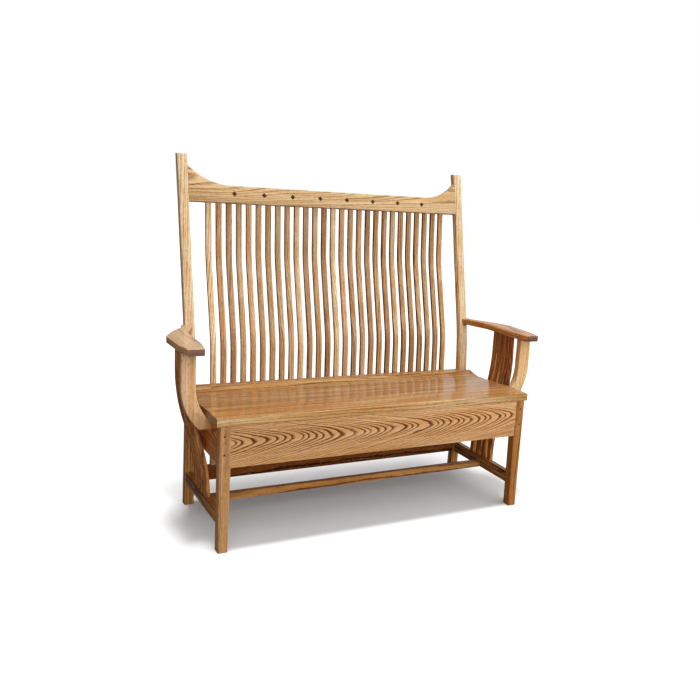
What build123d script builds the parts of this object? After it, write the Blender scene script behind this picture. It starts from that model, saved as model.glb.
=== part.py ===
from build123d import *
import math
import os

os.makedirs("parts", exist_ok=True)

# Mission settle in solid oak: X along the bench, Y from front to back, Z up, all in millimetres
# The origin is on the floor, in the middle of the bench's outline

# Overall sizes
post_height = 1264
seat_length = 1204
seat_height = 457

# Fits and cuts
fit = 0.2
overrun = 5

# Seat: three boards glued edge to edge, scooped along the whole length
seat_thickness = 27
seat_overhang = 2
seat_end_overhang = 10.5
seat_back_lap = 28
seat_edge_radius = 3
scoop_start = 106
scoop_rise_length = 67
scoop_low_depth = 15.5
scoop_front_bow = 1.5
scoop_back_rise = 12
back_strip = 40
seat_board_shares = (0, 0.34, 0.67, 1)

# Front legs
leg_width = 36
leg_foot_width = 31
leg_depth = 36
leg_edge = 1

# Back posts: splayed to the floor, near upright at the seat, raked from the knee up
post_width = 33
post_inset = 3.5
post_setback = 424
post_seat_depth = 36
post_foot_splay = 17
post_foot_depth = 31
post_knee_height = 600
post_knee_setback = 16
post_knee_depth = 33
post_lean_ratio = 0.226
post_top_depth = 30
post_bend_ratio = 6

# Aprons
apron_height = 140
apron_thickness = 21
apron_setback = 0.5
side_apron_inset = 7
back_apron_thickness = 17
back_apron_setback = 6
tenon_thickness = 10
tenon_shoulder = 15
front_tenon_length = 28
side_tenon_length = 16
back_tenon_length = 12

# Pegs through the front joints
peg_diameter = 6.5
peg_inset = 15
peg_rise = 45
peg_spacing = 62

# Stretchers
stretcher_gap = 160
stretcher_height = 43
stretcher_thickness = 22
stretcher_inset = 5.5
stretcher_shoulder = 6
centre_stretcher_height = 27
centre_stretcher_depth = 20
centre_stretcher_place = 227
centre_tenon_length = 12
back_stretcher_height = 53
back_stretcher_rise = 2
back_stretcher_behind = 14.5
back_stretcher_depth = 24

# Crest rail, in line with the raked face of the posts
crest_drop = 162
crest_height = 62
crest_horn_height = 128
crest_sweep = 154
crest_thickness = 24
crest_tenon_length = 20
crest_tenon_shoulder = 14

# Diamond inlays
inlay_count = 8
inlay_side = 13
inlay_pitch = 111.5
inlay_rise = 33
inlay_thickness = 3

# Slats in the back and in the sides
back_slat_pitch = 37.25
back_slat_count = 27
back_slat_width = 20.5
back_slat_thickness = 12
slat_crest_inset = 6
lumbar_share = 0.474
lumbar_behind = 23.3
shoulder_share = 0.795
shoulder_behind = 36
slat_bend_ratio = 1.25
slat_tenon_shoulder = 2
slat_tenon_length = 13
side_slat_count = 4
side_slat_pitch = 35.5
side_slat_foot_pitch = 43
side_slat_width = 22
side_slat_thickness = 15
side_slat_start = 192
side_slat_foot_start = 171
side_slat_bow = 70
side_slat_straight = 89

# Arms, drawn for the right side: widths out from the leg's outer face, places back from its front
arm_rise = 214
arm_thickness = 23
arm_front = 62
arm_front_inner = 32.5
arm_front_outer = 85.5
arm_outer_front = 96.5
arm_outer_front_place = 130
arm_corner = 101.5
arm_corner_place = 287
arm_corner_radius = 30
arm_shoulder = 66
arm_shoulder_length = 78
arm_shoulder_radius = 160
arm_waist = 20.5
arm_waist_front_place = 150
arm_waist_back_place = 325
arm_waist_radius = 120
arm_tip_gap = 3
arm_tip_outer = 11.5
arm_tip_length = 32
arm_lap_thickness = 11
arm_lap_length = 16
arm_front_radius = 6
arm_edge = 2
arm_tenon_width = 14
arm_tenon_shoulder = 6
arm_tenon_length = 16

# Arm supports, with a foot tenoned into the side apron under the seat's end
support_place = 119
support_thickness = 29
support_edge_gap = 5
support_width = 46
support_foot_outer = 33.5
support_foot_inner = 6.5
support_foot_gap = 6
support_foot_height = 35
support_bend_share = 0.49
support_tenon_length = 14
support_shoulder = 6

# Corner blocks and the screws through them
block_height = 40
block_near = 38
block_far = 78
screw_shank = 4.5
screw_head = 8.5
screw_head_height = 3
seat_screw_length = 50

# Places that follow from the sizes above
post_rake = post_lean_ratio * (post_height - post_knee_height)
bench_depth = seat_overhang + post_setback + post_knee_setback + post_rake + post_top_depth
seat_depth = seat_overhang + post_setback + seat_back_lap
seat_front = -bench_depth / 2
seat_back = seat_front + seat_depth
seat_bottom = seat_height - seat_thickness
seat_end = seat_length / 2
leg_front = seat_front + seat_overhang
leg_back = leg_front + leg_depth
leg_outer = seat_end - seat_end_overhang
leg_inner = leg_outer - leg_width
apron_bottom = seat_bottom - apron_height
post_outer = leg_outer - post_inset
post_inner = post_outer - post_width
post_front = leg_front + post_setback
post_knee = post_front + post_knee_setback
back_stretcher_front = post_front + back_stretcher_behind
rake = math.atan(post_lean_ratio)
side_apron_outer = leg_outer - side_apron_inset
side_apron_inner = side_apron_outer - apron_thickness
stretcher_outer = leg_outer - stretcher_inset
stretcher_inner = stretcher_outer - stretcher_thickness
stretcher_top = apron_bottom - stretcher_gap
stretcher_bottom = stretcher_top - stretcher_height
back_stretcher_bottom = stretcher_bottom + back_stretcher_rise
arm_height = seat_height + arm_rise
arm_bottom = arm_height - arm_thickness
crest_bottom = post_height - crest_drop
back_slat_base = back_stretcher_bottom + back_stretcher_height
lumbar_height = back_slat_base + lumbar_share * (crest_bottom - back_slat_base)
shoulder_height = back_slat_base + shoulder_share * (crest_bottom - back_slat_base)
support_outer = leg_outer + arm_outer_front - support_edge_gap
support_inner = support_outer - support_width
support_foot_top = seat_bottom - support_foot_gap
support_foot_bottom = support_foot_top - support_foot_height
support_bend = support_foot_top + support_bend_share * (arm_bottom - support_foot_top)
post_bend_radius = post_bend_ratio * (post_knee_height - seat_bottom)
slat_bend_radius = slat_bend_ratio * (shoulder_height - lumbar_height)


def post_front_at(height):
    """Place of the post's front face at a height above the seat's underside."""
    if height < post_knee_height:
        share = (height - seat_bottom) / (post_knee_height - seat_bottom)
        return post_front + share * post_knee_setback
    return post_knee + post_lean_ratio * (height - post_knee_height)


def side_plane(x):
    """Plane across the bench at x, drawn in Y and Z, facing +X."""
    return Plane.YZ.offset(x)


def front_plane(y):
    """Plane along the bench at y, drawn in X and Z, facing the front."""
    return Plane.XZ.offset(-y)


def block(x0, x1, y0, y1, z0, z1, grow=0):
    """Rectangular block between two corners, grown on every side."""
    size = (x1 - x0 + 2 * grow, y1 - y0 + 2 * grow, z1 - z0 + 2 * grow)
    return Pos((x0 + x1) / 2, (y0 + y1) / 2, (z0 + z1) / 2) * Box(*size, mode=Mode.PRIVATE)


def mirrored(shape):
    """The same shape on the left side."""
    return mirror(shape, about=Plane.YZ, mode=Mode.PRIVATE)


def finish(name, builder):
    """Label a piece and write it to its own file."""
    builder.part.label = name
    export_step(builder.part, f"parts/{name}.step")


# The crest's own plane: X along the bench, Y up the raked face, Z towards the front
crest_origin = (0, post_front_at(crest_bottom), crest_bottom)
crest_plane = Plane(origin=crest_origin, x_dir=(1, 0, 0), z_dir=(0, -math.cos(rake), math.sin(rake)))


def crest_point(back, up):
    """Point in Y and Z, measured back from and up along the crest's raked face."""
    y = crest_origin[1] + back * math.cos(rake) + up * math.sin(rake)
    z = crest_origin[2] - back * math.sin(rake) + up * math.cos(rake)
    return (y, z)


# Tenons, each made once as a solid and grown by the fit for its mortise
def front_apron_tenon(grow=0):
    y0 = leg_front + apron_setback + (apron_thickness - tenon_thickness) / 2
    return block(
        leg_inner, leg_inner + front_tenon_length, y0, y0 + tenon_thickness,
        apron_bottom + tenon_shoulder, seat_bottom - tenon_shoulder, grow,
    )


def side_apron_tenon(at_post, grow=0):
    x0 = side_apron_inner + (apron_thickness - tenon_thickness) / 2
    y0 = post_front - overrun if at_post else leg_back - side_tenon_length
    y1 = post_front + side_tenon_length if at_post else leg_back
    return block(
        x0, x0 + tenon_thickness, y0, y1,
        apron_bottom + tenon_shoulder, seat_bottom - tenon_shoulder, grow,
    )


def back_apron_tenon(grow=0):
    y0 = back_apron_front + (back_apron_thickness - tenon_thickness) / 2
    return block(
        post_inner, post_inner + back_tenon_length, y0, y0 + tenon_thickness,
        apron_bottom + tenon_shoulder, seat_bottom - tenon_shoulder, grow,
    )


def side_stretcher_tenon(at_post, grow=0):
    x0 = stretcher_inner + (stretcher_thickness - tenon_thickness) / 2
    post_face = post_front + post_foot_splay * (1 - stretcher_bottom / seat_bottom)
    y0 = post_front if at_post else leg_back - side_tenon_length
    y1 = post_face + side_tenon_length if at_post else leg_back
    return block(
        x0, x0 + tenon_thickness, y0, y1,
        stretcher_bottom + stretcher_shoulder, stretcher_top - stretcher_shoulder, grow,
    )


def centre_stretcher_tenon(grow=0):
    y0 = leg_front + centre_stretcher_place + (centre_stretcher_depth - tenon_thickness) / 2
    z0 = stretcher_bottom + stretcher_shoulder
    z1 = stretcher_bottom + centre_stretcher_height - stretcher_shoulder
    return block(
        stretcher_inner, stretcher_inner + centre_tenon_length, y0, y0 + tenon_thickness, z0, z1, grow,
    )


def back_stretcher_tenon(grow=0):
    y0 = back_stretcher_front + (back_stretcher_depth - tenon_thickness) / 2
    z0 = back_stretcher_bottom + stretcher_shoulder
    z1 = back_stretcher_bottom + back_stretcher_height - stretcher_shoulder
    return block(post_inner, post_inner + back_tenon_length, y0, y0 + tenon_thickness, z0, z1, grow)


def crest_tenon(grow=0):
    height = crest_horn_height - 2 * crest_tenon_shoulder
    size = (crest_tenon_length + 2 * grow, height + 2 * grow, tenon_thickness + 2 * grow)
    tenon = Box(*size, mode=Mode.PRIVATE)
    place = Pos(post_inner + crest_tenon_length / 2, crest_horn_height / 2, -crest_thickness / 2)
    return crest_plane.location * place * tenon


def support_tenon(grow=0):
    x0 = support_inner + tenon_thickness
    x1 = support_outer - tenon_thickness
    y0 = leg_front + support_place + (support_thickness - tenon_thickness) / 2
    return block(x0, x1, y0, y0 + tenon_thickness, arm_bottom, arm_bottom + support_tenon_length, grow)


def support_foot_tenon(grow=0):
    y0 = leg_front + support_place + (support_thickness - tenon_thickness) / 2
    return block(
        side_apron_outer - support_tenon_length, side_apron_outer, y0, y0 + tenon_thickness,
        support_foot_bottom + support_shoulder, support_foot_top - support_shoulder, grow,
    )


def arm_tenon(grow=0):
    x1 = post_outer - arm_tenon_shoulder
    y0 = post_front_at(arm_bottom) - overrun
    z0 = arm_bottom + (arm_thickness - tenon_thickness) / 2
    return block(
        x1 - arm_tenon_width, x1, y0, post_front_at(arm_height) + arm_tenon_length,
        z0, z0 + tenon_thickness, grow,
    )


def side_slat_tenon(place, at_arm, grow=0):
    bow = side_slat_bow if at_arm else 0
    x1 = stretcher_outer + bow - slat_tenon_shoulder
    x0 = x1 - side_slat_thickness + 2 * slat_tenon_shoulder
    y0 = place + slat_tenon_shoulder
    y1 = place + side_slat_width - slat_tenon_shoulder
    z0 = arm_bottom if at_arm else stretcher_top - slat_tenon_length
    return block(x0, x1, y0, y1, z0, z0 + slat_tenon_length, grow)


def back_slat_top_tenon(x, grow=0):
    thickness = back_slat_thickness - 2 * slat_tenon_shoulder
    width = back_slat_width - 2 * slat_tenon_shoulder
    size = (width + 2 * grow, slat_tenon_length + 2 * grow, thickness + 2 * grow)
    tenon = Box(*size, mode=Mode.PRIVATE)
    back = slat_crest_inset + back_slat_thickness / 2
    return crest_plane.location * Pos(x, slat_tenon_length / 2, -back) * tenon


def back_slat_foot_tenon(x, grow=0):
    half = back_slat_width / 2 - slat_tenon_shoulder
    y0 = back_slat_foot + slat_tenon_shoulder
    y1 = back_slat_foot + back_slat_thickness - slat_tenon_shoulder
    z1 = back_stretcher_bottom + back_stretcher_height
    return block(x - half, x + half, y0, y1, z1 - slat_tenon_length, z1, grow)


back_apron_front = post_front + back_apron_setback
back_slat_foot = back_stretcher_front + (back_stretcher_depth - back_slat_thickness) / 2
back_slat_places = [(i - (back_slat_count - 1) / 2) * back_slat_pitch for i in range(back_slat_count)]
side_slat_tops = [leg_front + side_slat_start + i * side_slat_pitch for i in range(side_slat_count)]
side_slat_feet = [leg_front + side_slat_foot_start + i * side_slat_foot_pitch for i in range(side_slat_count)]
peg_heights = [apron_bottom + peg_rise + i * peg_spacing for i in range(2)]
peg_x = leg_outer - peg_inset
peg_length = apron_setback + (apron_thickness + tenon_thickness) / 2


def peg_hole(height, radius):
    """Cylinder along Y from the leg's front face."""
    place = Pos(peg_x, leg_front + peg_length / 2, height)
    return place * Rot(90, 0, 0) * Cylinder(radius, peg_length, mode=Mode.PRIVATE)


def rod(radius, top_radius, start, end):
    """Round bar or cone along Z between two heights."""
    place = Pos(0, 0, (start + end) / 2)
    if radius == top_radius:
        return place * Cylinder(radius, end - start, mode=Mode.PRIVATE)
    return place * Cone(radius, top_radius, end - start, mode=Mode.PRIVATE)


# Screws, each with its head at the start and its shank along its own Z
def screw(grow=0):
    """Countersunk wood screw, grown by the fit for its hole."""
    shank = rod(screw_shank / 2 + grow, screw_shank / 2 + grow, 0, seat_screw_length + grow)
    return shank + rod(screw_head / 2 + grow, screw_shank / 2 + grow, 0, screw_head_height)


front_block_y = leg_front + apron_setback + apron_thickness
block_inset = (block_near + block_far) / 4
seat_screw_places = [
    Pos(side * (side_apron_inner - block_inset), y, seat_bottom - block_height)
    for side in (1, -1)
    for y in (front_block_y + block_inset, back_apron_front - block_inset)
]

# Front leg, right, tapering on its inner face below the apron
with BuildPart() as front_leg_right:
    with BuildSketch(front_plane(leg_back)):
        with BuildLine():
            Polyline(
                (leg_outer, 0),
                (leg_outer, seat_bottom),
                (leg_inner, seat_bottom),
                (leg_inner, apron_bottom),
                (leg_outer - leg_foot_width, 0),
                close=True,
            )
        make_face()
    extrude(amount=leg_depth)
    chamfer(front_leg_right.edges().filter_by(Axis.Z).sort_by(Axis.X)[-2:], leg_edge)
    chamfer(front_leg_right.faces().sort_by(Axis.Z)[0].edges(), leg_edge)
    add(front_apron_tenon(fit), mode=Mode.SUBTRACT)
    add(side_apron_tenon(False, fit), mode=Mode.SUBTRACT)
    add(side_stretcher_tenon(False, fit), mode=Mode.SUBTRACT)
    for height in peg_heights:
        add(peg_hole(height, peg_diameter / 2 + fit), mode=Mode.SUBTRACT)
finish("front_leg_right", front_leg_right)

with BuildPart() as front_leg_left:
    mirror(front_leg_right.part, about=Plane.YZ)
finish("front_leg_left", front_leg_left)

# Back post, right: splayed foot, upright at the seat, raked above it
with BuildSketch(side_plane(post_inner)) as post_profile:
    with BuildLine():
        post_face_line = FilletPolyline(
            (post_front + post_foot_splay, 0),
            (post_front, seat_bottom),
            (post_knee, post_knee_height),
            (post_knee + post_rake, post_height),
            radius=post_bend_radius,
        )
        post_back_line = FilletPolyline(
            (post_front + post_foot_splay + post_foot_depth, 0),
            (post_front + post_seat_depth, seat_bottom),
            (post_knee + post_knee_depth, post_knee_height),
            (post_knee + post_rake + post_top_depth, post_height),
            radius=post_bend_radius,
        )
        Line(post_face_line @ 0, post_back_line @ 0)
        Line(post_face_line @ 1, post_back_line @ 1)
    make_face()

with BuildPart() as back_post_right:
    extrude(post_profile.sketch, amount=post_width)
    add(side_apron_tenon(True, fit), mode=Mode.SUBTRACT)
    add(side_stretcher_tenon(True, fit), mode=Mode.SUBTRACT)
    add(back_apron_tenon(fit), mode=Mode.SUBTRACT)
    add(back_stretcher_tenon(fit), mode=Mode.SUBTRACT)
    add(crest_tenon(fit), mode=Mode.SUBTRACT)
    add(arm_tenon(fit), mode=Mode.SUBTRACT)
finish("back_post_right", back_post_right)

# The space that the post takes up, with its fit, cut from whatever shoulders against it
with BuildSketch(side_plane(post_inner - fit)) as post_space_profile:
    add(post_profile.sketch_local)
    offset(amount=fit)

with BuildPart() as post_space:
    extrude(post_space_profile.sketch, amount=post_width + 2 * fit)

# The same space run out past the seat's end, which takes the seat's back corner off
with BuildPart() as seat_notch:
    extrude(post_space_profile.sketch, amount=seat_end + overrun - post_inner)

with BuildPart() as back_post_left:
    mirror(back_post_right.part, about=Plane.YZ)
finish("back_post_left", back_post_left)

# Front apron, flush with the legs
with BuildPart() as front_apron:
    y0 = leg_front + apron_setback
    add(block(-leg_inner, leg_inner, y0, y0 + apron_thickness, apron_bottom, seat_bottom))
    add(front_apron_tenon())
    add(mirrored(front_apron_tenon()))
    for height in peg_heights:
        hole = peg_hole(height, peg_diameter / 2 + fit)
        add(hole, mode=Mode.SUBTRACT)
        add(mirrored(hole), mode=Mode.SUBTRACT)
finish("front_apron", front_apron)

# Side apron, right
with BuildPart() as side_apron_right:
    add(block(side_apron_inner, side_apron_outer, leg_back, post_knee, apron_bottom, seat_bottom))
    add(post_space.part, mode=Mode.SUBTRACT)
    add(side_apron_tenon(False))
    add(side_apron_tenon(True))
    add(support_foot_tenon(fit), mode=Mode.SUBTRACT)
finish("side_apron_right", side_apron_right)

with BuildPart() as side_apron_left:
    mirror(side_apron_right.part, about=Plane.YZ)
finish("side_apron_left", side_apron_left)

# Back apron, between the posts and in front of the slats
with BuildPart() as back_apron:
    add(block(
        -post_inner, post_inner, back_apron_front, back_apron_front + back_apron_thickness,
        apron_bottom, seat_bottom,
    ))
    add(back_apron_tenon())
    add(mirrored(back_apron_tenon()))
finish("back_apron", back_apron)

# Seat blank: the scooped section run the whole length, its back corners notched for the posts
scoop_end = seat_back - back_strip
low_y = scoop_end - scoop_rise_length
low_z = seat_height - scoop_low_depth
strip_z = low_z + scoop_back_rise
with BuildPart() as seat_blank:
    with BuildSketch(side_plane(-seat_end)):
        with BuildLine():
            front_run = Polyline(
                (scoop_end, strip_z),
                (seat_back, strip_z),
                (seat_back, seat_bottom),
                (seat_front, seat_bottom),
                (seat_front, seat_height),
                (leg_front + scoop_start, seat_height),
            )
            middle = ((leg_front + scoop_start + low_y) / 2, (seat_height + low_z) / 2 - scoop_front_bow)
            ThreePointArc(front_run @ 1, middle, (low_y, low_z))
            TangentArc((low_y, low_z), (scoop_end, strip_z), tangent=(1, 0))
        make_face()
    extrude(amount=seat_length)
    top_edges = seat_blank.edges().filter_by(Axis.X).group_by(Axis.Y)[0].sort_by(Axis.Z)
    fillet(top_edges[-1], seat_edge_radius)
    add(seat_notch.part, mode=Mode.SUBTRACT)
    add(mirrored(seat_notch.part), mode=Mode.SUBTRACT)
    for place in seat_screw_places:
        add(place * screw(fit), mode=Mode.SUBTRACT)

seat_names = ("seat_board_front", "seat_board_middle", "seat_board_back")
for name, start_share, end_share in zip(seat_names, seat_board_shares, seat_board_shares[1:]):
    with BuildPart() as seat_board:
        add(seat_blank.part)
        y0 = seat_front + start_share * seat_depth
        y1 = seat_front + end_share * seat_depth
        board_space = block(
            -seat_end - overrun, seat_end + overrun, y0, y1, seat_bottom - overrun, seat_height + overrun,
        )
        add(board_space, mode=Mode.INTERSECT)
    finish(name, seat_board)

# Side stretcher, right, with its back shoulder cut to the post's splay
with BuildPart() as side_stretcher_right:
    add(block(
        stretcher_inner, stretcher_outer, leg_back, post_front + post_foot_splay,
        stretcher_bottom, stretcher_top,
    ))
    add(post_space.part, mode=Mode.SUBTRACT)
    add(side_stretcher_tenon(False))
    add(side_stretcher_tenon(True))
    add(centre_stretcher_tenon(fit), mode=Mode.SUBTRACT)
    for place in side_slat_feet:
        add(side_slat_tenon(place, False, fit), mode=Mode.SUBTRACT)
finish("side_stretcher_right", side_stretcher_right)

with BuildPart() as side_stretcher_left:
    mirror(side_stretcher_right.part, about=Plane.YZ)
finish("side_stretcher_left", side_stretcher_left)

# Centre stretcher
with BuildPart() as centre_stretcher:
    y0 = leg_front + centre_stretcher_place
    add(block(
        -stretcher_inner, stretcher_inner, y0, y0 + centre_stretcher_depth,
        stretcher_bottom, stretcher_bottom + centre_stretcher_height,
    ))
    add(centre_stretcher_tenon())
    add(mirrored(centre_stretcher_tenon()))
finish("centre_stretcher", centre_stretcher)

# Back stretcher, low between the posts, that carries the feet of the back slats
with BuildPart() as back_stretcher:
    y0 = back_stretcher_front
    add(block(
        -post_inner, post_inner, y0, y0 + back_stretcher_depth,
        back_stretcher_bottom, back_stretcher_bottom + back_stretcher_height,
    ))
    add(back_stretcher_tenon())
    add(mirrored(back_stretcher_tenon()))
    for x in back_slat_places:
        add(back_slat_foot_tenon(x, fit), mode=Mode.SUBTRACT)
finish("back_stretcher", back_stretcher)

# Crest rail: straight bottom, and arcs that sweep up to a horn at each post
inlay_places = [(i - (inlay_count - 1) / 2) * inlay_pitch for i in range(inlay_count)]
with BuildPart() as crest_rail:
    with BuildSketch(crest_plane):
        with BuildLine():
            sweep_start = post_inner - crest_sweep
            base = Polyline(
                (-post_inner, crest_horn_height),
                (-post_inner, 0),
                (post_inner, 0),
                (post_inner, crest_horn_height),
            )
            top = Line((-sweep_start, crest_height), (sweep_start, crest_height))
            TangentArc(top @ 1, base @ 1, tangent=(1, 0))
            TangentArc(top @ 0, base @ 0, tangent=(-1, 0))
        make_face()
    extrude(amount=-crest_thickness)
    with BuildSketch(crest_plane):
        with Locations([(x, inlay_rise) for x in inlay_places]):
            Rectangle(inlay_side + 2 * fit, inlay_side + 2 * fit, rotation=45)
    extrude(amount=-inlay_thickness, mode=Mode.SUBTRACT)
    add(crest_tenon())
    add(mirrored(crest_tenon()))
    for x in back_slat_places:
        add(back_slat_top_tenon(x, fit), mode=Mode.SUBTRACT)
finish("crest_rail", crest_rail)

with BuildPart() as crest_inlays:
    with BuildSketch(crest_plane):
        with Locations([(x, inlay_rise) for x in inlay_places]):
            Rectangle(inlay_side, inlay_side, rotation=45)
    extrude(amount=-inlay_thickness)
finish("crest_inlays", crest_inlays)

# Back slats: upright at the foot, forward at the small of the back, back at the shoulders
lumbar_face = post_front_at(lumbar_height) + lumbar_behind
shoulder_face = post_front_at(shoulder_height) + shoulder_behind
for i, x in enumerate(back_slat_places):
    with BuildPart() as back_slat:
        with BuildSketch(side_plane(x - back_slat_width / 2)):
            with BuildLine():
                front_face = FilletPolyline(
                    (back_slat_foot, back_slat_base),
                    (lumbar_face, lumbar_height),
                    (shoulder_face, shoulder_height),
                    crest_point(slat_crest_inset, 0),
                    radius=slat_bend_radius,
                )
                back_face = FilletPolyline(
                    (back_slat_foot + back_slat_thickness, back_slat_base),
                    (lumbar_face + back_slat_thickness, lumbar_height),
                    (shoulder_face + back_slat_thickness, shoulder_height),
                    crest_point(slat_crest_inset + back_slat_thickness, 0),
                    radius=slat_bend_radius,
                )
                Line(front_face @ 0, back_face @ 0)
                Line(front_face @ 1, back_face @ 1)
            make_face()
        extrude(amount=back_slat_width)
        add(back_slat_top_tenon(x))
        add(back_slat_foot_tenon(x))
    finish(f"back_slat_{i + 1:02d}", back_slat)

# Side slat's blank: an S from the stretcher out to the middle of the arm, run past both ends
side_slat_base = stretcher_top
side_slat_top_bend = arm_bottom - side_slat_straight
side_slat_middle = (side_slat_base + side_slat_top_bend) / 2
with BuildPart() as side_slat_blank:
    with BuildSketch(front_plane(side_slat_width / 2)):
        with BuildLine():
            for face in (stretcher_outer, stretcher_outer - side_slat_thickness):
                middle = (face + side_slat_bow / 2, side_slat_middle)
                Line((face, side_slat_base - overrun), (face, side_slat_base))
                TangentArc((face, side_slat_base), middle, tangent=(0, 1))
                high = TangentArc((face + side_slat_bow, side_slat_top_bend), middle, tangent=(0, -1))
                Line(high @ 0, (face + side_slat_bow, arm_bottom + overrun))
            ends = (stretcher_outer - side_slat_thickness, stretcher_outer)
            Line((ends[0], side_slat_base - overrun), (ends[1], side_slat_base - overrun))
            tops = (ends[0] + side_slat_bow, ends[1] + side_slat_bow)
            Line((tops[0], arm_bottom + overrun), (tops[1], arm_bottom + overrun))
        make_face()
    extrude(amount=side_slat_width)

# Side slats: the blanks fanned a little from the arm to the stretcher, and trimmed level to shoulder on both
side_slat_rise = arm_bottom - side_slat_base
for i, (foot, top) in enumerate(zip(side_slat_feet, side_slat_tops)):
    lean = math.degrees(math.atan((top - foot) / side_slat_rise))
    middle_y = (foot + top + side_slat_width) / 2
    middle_z = side_slat_base + side_slat_rise / 2
    with BuildPart() as side_slat:
        add(Pos(0, middle_y, middle_z) * Rot(-lean, 0, 0) * Pos(0, 0, -middle_z) * side_slat_blank.part)
        between = block(
            stretcher_inner, stretcher_outer + side_slat_bow + overrun,
            min(foot, top) - overrun, max(foot, top) + side_slat_width + overrun,
            side_slat_base, arm_bottom,
        )
        add(between, mode=Mode.INTERSECT)
        add(side_slat_tenon(foot, False))
        add(side_slat_tenon(top, True))
    finish(f"side_slat_right_{i + 1}", side_slat)
    with BuildPart() as side_slat_mirrored:
        mirror(side_slat.part, about=Plane.YZ)
    finish(f"side_slat_left_{i + 1}", side_slat_mirrored)

# Arm, right: paddle outline, its tip notched round the post's front corner
arm_back = post_front_at(arm_height) + arm_lap_length
with BuildPart() as arm_right:
    with BuildSketch(Plane.XY.offset(arm_bottom)) as arm_outline:
        with BuildLine():
            inner_edge = FilletPolyline(
                (leg_outer + arm_front_inner, leg_front + arm_front),
                (leg_outer + arm_waist, leg_front + arm_waist_front_place),
                (leg_outer + arm_waist, leg_front + arm_waist_back_place),
                (post_inner + arm_tip_gap, arm_back),
                radius=arm_waist_radius,
            )
            Polyline(
                inner_edge @ 0,
                (leg_outer + arm_front_outer, leg_front + arm_front),
                (leg_outer + arm_outer_front, leg_front + arm_outer_front_place),
                (leg_outer + arm_corner, leg_front + arm_corner_place),
                (leg_outer + arm_shoulder, arm_back - arm_tip_length - arm_shoulder_length),
                (leg_outer + arm_tip_outer, arm_back - arm_tip_length),
                (post_outer + arm_lap_thickness, arm_back),
                inner_edge @ 1,
            )
        make_face()
        fillet(arm_outline.vertices().group_by(Axis.Y)[0], arm_front_radius)
        outer_corners = arm_outline.vertices().sort_by(Axis.X)
        corner = outer_corners[-1]
        shoulder = outer_corners.filter_by(lambda v: v.Y > corner.Y)[-1]
        fillet(shoulder, arm_shoulder_radius)
        fillet(arm_outline.vertices().sort_by(Axis.X)[-1], arm_corner_radius)
    extrude(amount=arm_thickness)
    chamfer(arm_right.faces().sort_by(Axis.Z)[-1].edges(), arm_edge)
    add(post_space.part, mode=Mode.SUBTRACT)
    add(arm_tenon())
    add(support_tenon(fit), mode=Mode.SUBTRACT)
    for place in side_slat_tops:
        add(side_slat_tenon(place, True, fit), mode=Mode.SUBTRACT)
finish("arm_right", arm_right)

with BuildPart() as arm_left:
    mirror(arm_right.part, about=Plane.YZ)
finish("arm_left", arm_left)

# Arm support, right: bowed bracket, its foot turned in to the side apron
with BuildPart() as arm_support_right:
    with BuildSketch(front_plane(leg_front + support_place + support_thickness)):
        with BuildLine():
            outer_foot = (leg_outer + support_foot_outer, support_foot_bottom)
            inner_foot = (leg_outer + support_foot_inner, support_foot_top)
            outer = Line((support_outer, arm_bottom), (support_outer, support_bend))
            outer_arc = TangentArc(outer @ 1, outer_foot, tangent=(0, -1))
            inner = Line((support_inner, arm_bottom), (support_inner, support_bend))
            inner_arc = TangentArc(inner @ 1, inner_foot, tangent=(0, -1))
            Polyline(
                outer_arc @ 1,
                (side_apron_outer, support_foot_bottom),
                (side_apron_outer, support_foot_top),
                inner_arc @ 1,
            )
            Line(outer @ 0, inner @ 0)
        make_face()
    extrude(amount=support_thickness)
    add(support_tenon())
    add(support_foot_tenon())
finish("arm_support_right", arm_support_right)

with BuildPart() as arm_support_left:
    mirror(arm_support_right.part, about=Plane.YZ)
finish("arm_support_left", arm_support_left)

# Pegs through the front apron's tenons
with BuildPart() as leg_pegs:
    for height in peg_heights:
        peg = peg_hole(height, peg_diameter / 2)
        add(peg)
        add(mirrored(peg))
finish("leg_pegs", leg_pegs)

# Corner blocks, braced across each corner under the seat
with BuildPart() as corner_blocks:
    for side in (1, -1):
        for corner_y, inward in ((front_block_y, 1), (back_apron_front, -1)):
            with BuildSketch(Plane.XY.offset(seat_bottom - block_height)):
                with BuildLine():
                    corner_x = side * side_apron_inner
                    Polyline(
                        (corner_x, corner_y + inward * block_far),
                        (corner_x, corner_y + inward * block_near),
                        (corner_x - side * block_near, corner_y),
                        (corner_x - side * block_far, corner_y),
                        close=True,
                    )
                make_face()
            extrude(amount=block_height)
    for place in seat_screw_places:
        add(place * screw(fit), mode=Mode.SUBTRACT)
finish("corner_blocks", corner_blocks)

# Wood screws, up through the corner blocks into the seat
with BuildPart() as wood_screws:
    for place in seat_screw_places:
        add(place * screw())
finish("wood_screws", wood_screws)
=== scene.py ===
import math

import bpy
from mathutils import Matrix, Vector


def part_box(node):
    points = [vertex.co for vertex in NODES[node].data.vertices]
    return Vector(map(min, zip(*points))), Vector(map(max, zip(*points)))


bl_info = {
    "name": "Mission settle",
    "version": (1, 0, 0),
    "blender": (4, 5, 0),
    "location": "3D View > Sidebar > Settle",
    "description": "Varnished oak, walnut and studio for a mission settle, on its joiner's frame",
    "category": "Object",
}

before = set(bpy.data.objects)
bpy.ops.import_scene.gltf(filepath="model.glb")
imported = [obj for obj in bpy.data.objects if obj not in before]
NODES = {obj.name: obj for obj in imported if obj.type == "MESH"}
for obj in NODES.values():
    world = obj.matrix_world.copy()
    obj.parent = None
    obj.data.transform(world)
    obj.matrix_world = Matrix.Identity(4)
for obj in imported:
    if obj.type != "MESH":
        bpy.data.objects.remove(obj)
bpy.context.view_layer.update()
MM = 0.001

# Directions that a face can look in
LEFT = (-1.0, 0.0, 0.0)
FRONT = (0.0, -1.0, 0.0)

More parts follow.
